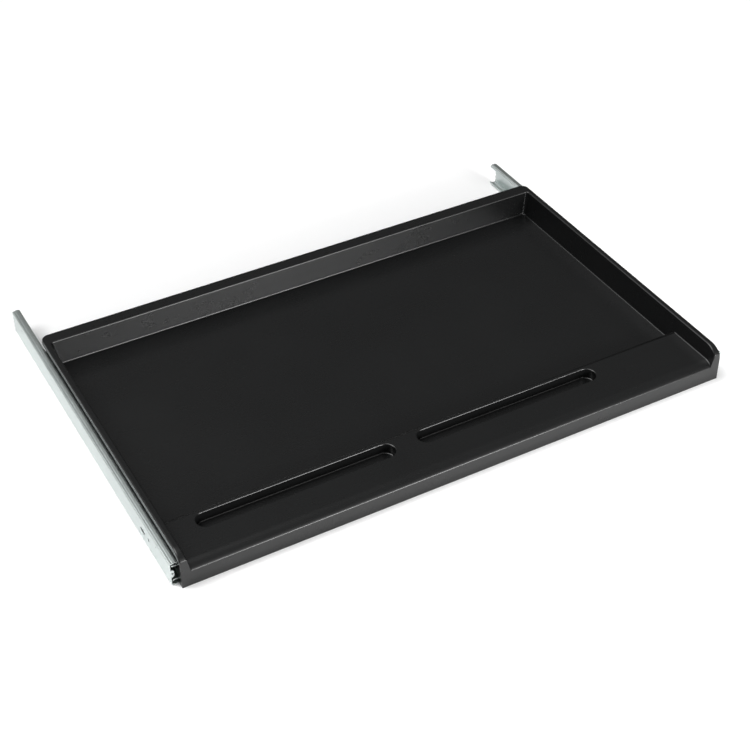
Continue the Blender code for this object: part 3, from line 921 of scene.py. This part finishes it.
class DRAWER_OT_ball_cages(bpy.types.Operator):
    """Build the cages and the balls that roll in them"""

    bl_idname = "drawer.ball_cages"
    bl_label = "Ball Cages"

    def execute(self, context):
        slide = context.scene.drawer_slides
        strip, steel = bright_strip(slide), ball_steel(slide)
        for name, side in SIDES.items():
            body = f"{name}_cage"
            reach = RAIL_X - CAGE_LOW[0]
            web = RAIL_X - CAGE_HIGH[0] + slide.cage_sheet / 2
            rise = (CAGE_HIGH[2] - CAGE_LOW[2] - slide.cage_sheet) / 2
            corners = mirrored([(reach, rise), (web, rise)])
            bends = [CAGE_BEND] * 2
            shape = folded_strip(side, corners, slide.cage_sheet, bends, CAGE_LOW[1], CAGE_HIGH[1])
            windows = bmesh.new()
            for row in ROWS:
                for number in range(1, BALLS_PER_ROW + 1):
                    node = f"{name}_{row}_ball_{number}"
                    low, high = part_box(node)
                    centre = [(a + b) / 2 for a, b in zip(low, high)]
                    radius = (high[1] - low[1]) / 2
                    ball = bmesh.new()
                    bmesh.ops.create_icosphere(ball, subdivisions=3, radius=radius)
                    bmesh.ops.translate(ball, verts=ball.verts, vec=centre)
                    place_piece(f"{node}_steel", ball, steel, body, [node])
                    ring = arc(centre[:2], radius + slide.play, 0, 360, 28)[:-1]
                    skin(
                        windows,
                        [(*point, centre[2] - CUT_PAST) for point in ring],
                        [(*point, centre[2] + CUT_PAST) for point in ring],
                    )
            shape = carve(shape, windows)
            place_piece(f"{name}_cage_strip", shape, strip, body, [f"{name}_ball_cage"])
        return {"FINISHED"}


def screw_body(side, low, high):
    """A pan head with a domed top over a threaded shank."""
    shape = bmesh.new()
    y, z = (low[1] + high[1]) / 2, (low[2] + high[2]) / 2
    inside, outside = sorted((abs(low[0]), abs(high[0])))
    radius = (high[1] - low[1]) / 2
    profile = []
    for step in range(HEAD_STEPS + 1):
        angle = math.radians(90 * step / HEAD_STEPS)
        drop = HEAD_DROP * HEAD * (1 - math.cos(angle))
        profile.append((outside - drop, radius * (HEAD_FLAT + (1 - HEAD_FLAT) * math.sin(angle))))
    under = outside - HEAD
    profile += [(under, radius), (under, SHANK)]
    turns = int((under - inside - THREAD_SHORT) / PITCH)
    for turn in range(turns):
        start = under - THREAD_START - turn * PITCH
        profile += [(start, SHANK * THREAD_ROOT), (start - PITCH / 2, SHANK)]
    profile.append((inside, SHANK * POINT))
    rings = []
    for x, size in profile:
        circle = arc((y, z), size, 0, 360, 32)[:-1]
        rings.append([shape.verts.new((side * x, *point)) for point in circle])
    shape.faces.new(rings[0])
    shape.faces.new(rings[-1])
    for ring, following in zip(rings, rings[1:]):
        for index in range(len(ring)):
            shape.faces.new((ring[index - 1], ring[index], following[index], following[index - 1]))
    cross = bmesh.new()
    ends = sorted((side * (outside - CROSS_DEPTH), side * (outside + CUT_PAST)))
    quarter = [(CROSS_HALF, CROSS_ARM), (CROSS_HALF, CROSS_HALF), (CROSS_ARM, CROSS_HALF)]
    plan = quarter + [(a, -b) for a, b in reversed(quarter)]
    plan += [(-a, -b) for a, b in plan]
    skin(cross, *[[(x, y + a, z + b) for a, b in plan] for x in ends])
    return carve(shape, cross)


class DRAWER_OT_screws(bpy.types.Operator):
    """Build the screws that hold the inner channels to the tray"""

    bl_idname = "drawer.screws"
    bl_label = "Screws"

    def execute(self, context):
        plate = screw_zinc(context.scene.drawer_slides)
        for name, side in SIDES.items():
            for number in range(1, SCREWS_PER_SIDE + 1):
                node = f"{name}_screw_{number}"
                shape = screw_body(side, *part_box(node))
                piece = f"{name}_pan_screw_{number}"
                place_piece(piece, shape, plate, "tray_carriage", [node])
        return {"FINISHED"}


class DRAWER_OT_bumpers(bpy.types.Operator):
    """Build the bumpers that the drawer closes against"""

    bl_idname = "drawer.bumpers"
    bl_label = "Bumpers"

    def execute(self, context):
        nylon = natural_nylon(context.scene.drawer_slides)
        for name in SIDES:
            low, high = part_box(f"{name}_closing_bumper")
            shape = bmesh.new()
            add_box(shape, low, high)
            round_edges(shape, shape.edges[:], BUMPER_EDGE, BUMPER_STEPS)
            relief = bmesh.new()
            y, middle = (low[1] + high[1]) / 2, (low[2] + high[2]) / 2
            ends = (low[0] - CUT_PAST, high[0] + CUT_PAST)
            for rise in (-RELIEF_RISE, RELIEF_RISE):
                add_rod(relief, *ends, y, middle + rise, RELIEF_RADIUS)
            shape = carve(shape, relief)
            node = f"{name}_closing_bumper"
            place_piece(f"{name}_bumper_block", shape, nylon, "desk_rails", [node])
        return {"FINISHED"}


# The stage


def add_light(name, place, aim, size, power):
    """A soft square light that faces a point."""
    lamp = bpy.data.lights.new(name, "AREA")
    lamp.shape = "RECTANGLE"
    lamp.size, lamp.size_y = size
    lamp.energy = power
    light = bpy.data.objects.new(name, lamp)
    light.location = place
    light.rotation_euler = (Vector(aim) - Vector(place)).to_track_quat("-Z", "Y").to_euler()
    bpy.context.scene.collection.objects.link(light)


class DRAWER_OT_stage(bpy.types.Operator):
    """Set the floor, the lights, the surroundings and the camera"""

    bl_idname = "drawer.stage"
    bl_label = "Stage"

    def execute(self, context):
        stage = context.scene.drawer_stage
        shape = bmesh.new()
        reach = FLOOR_REACH
        add_box(shape, (-reach, -reach, -FLOOR_THICKNESS), (reach, reach, 0))
        mesh = bpy.data.meshes.new("pale_floor")
        shape.to_mesh(mesh)
        shape.free()
        mesh.materials.append(pale_floor(stage))
        ground = bpy.data.objects.new("pale_floor", mesh)
        context.scene.collection.objects.link(ground)

        add_light("key", KEY_PLACE, KEY_AIM, KEY_SIZE, stage.key)
        add_light("side", SIDE_PLACE, SIDE_AIM, SIDE_SIZE, stage.side)
        context.scene.world = surroundings(stage)
        context.scene.view_settings.view_transform = "Standard"

        lens = bpy.data.cameras.new("camera")
        lens.lens = stage.lens
        camera = bpy.data.objects.new("camera", lens)
        camera.location = stage.place
        camera.rotation_euler = [math.radians(angle) for angle in stage.turn]
        context.scene.collection.objects.link(camera)
        context.scene.camera = camera
        return {"FINISHED"}


class DRAWER_PT_panel(bpy.types.Panel):
    """The drawer's sizes, and a button for each group of pieces"""

    bl_idname = "DRAWER_PT_panel"
    bl_label = "Under Desk Drawer"
    bl_space_type = "VIEW_3D"
    bl_region_type = "UI"
    bl_category = "Drawer"

    def draw(self, context):
        for operator in OPERATORS:
            self.layout.operator(operator.bl_idname)
        for group in GROUPS:
            settings = getattr(context.scene, group)
            column = self.layout.column()
            for name in settings.__annotations__:
                column.prop(settings, name)


OPERATORS = (
    DRAWER_OT_tray,
    DRAWER_OT_outer_channels,
    DRAWER_OT_inner_channels,
    DRAWER_OT_ball_cages,
    DRAWER_OT_screws,
    DRAWER_OT_bumpers,
    DRAWER_OT_stage,
)
GROUPS = {
    "drawer_tray": DrawerTraySettings,
    "drawer_slides": DrawerSlideSettings,
    "drawer_stage": DrawerStageSettings,
}
CLASSES = (*GROUPS.values(), *OPERATORS, DRAWER_PT_panel)


def register():
    for each in CLASSES:
        bpy.utils.register_class(each)
    for name, group in GROUPS.items():
        setattr(bpy.types.Scene, name, PointerProperty(type=group))


def unregister():
    for name in GROUPS:
        delattr(bpy.types.Scene, name)
    for each in reversed(CLASSES):
        bpy.utils.unregister_class(each)


def main():
    register()
    bpy.ops.drawer.tray()
    bpy.ops.drawer.outer_channels()
    bpy.ops.drawer.inner_channels()
    bpy.ops.drawer.ball_cages()
    bpy.ops.drawer.screws()
    bpy.ops.drawer.bumpers()
    bpy.ops.drawer.stage()


if __name__ == "__main__":
    main()
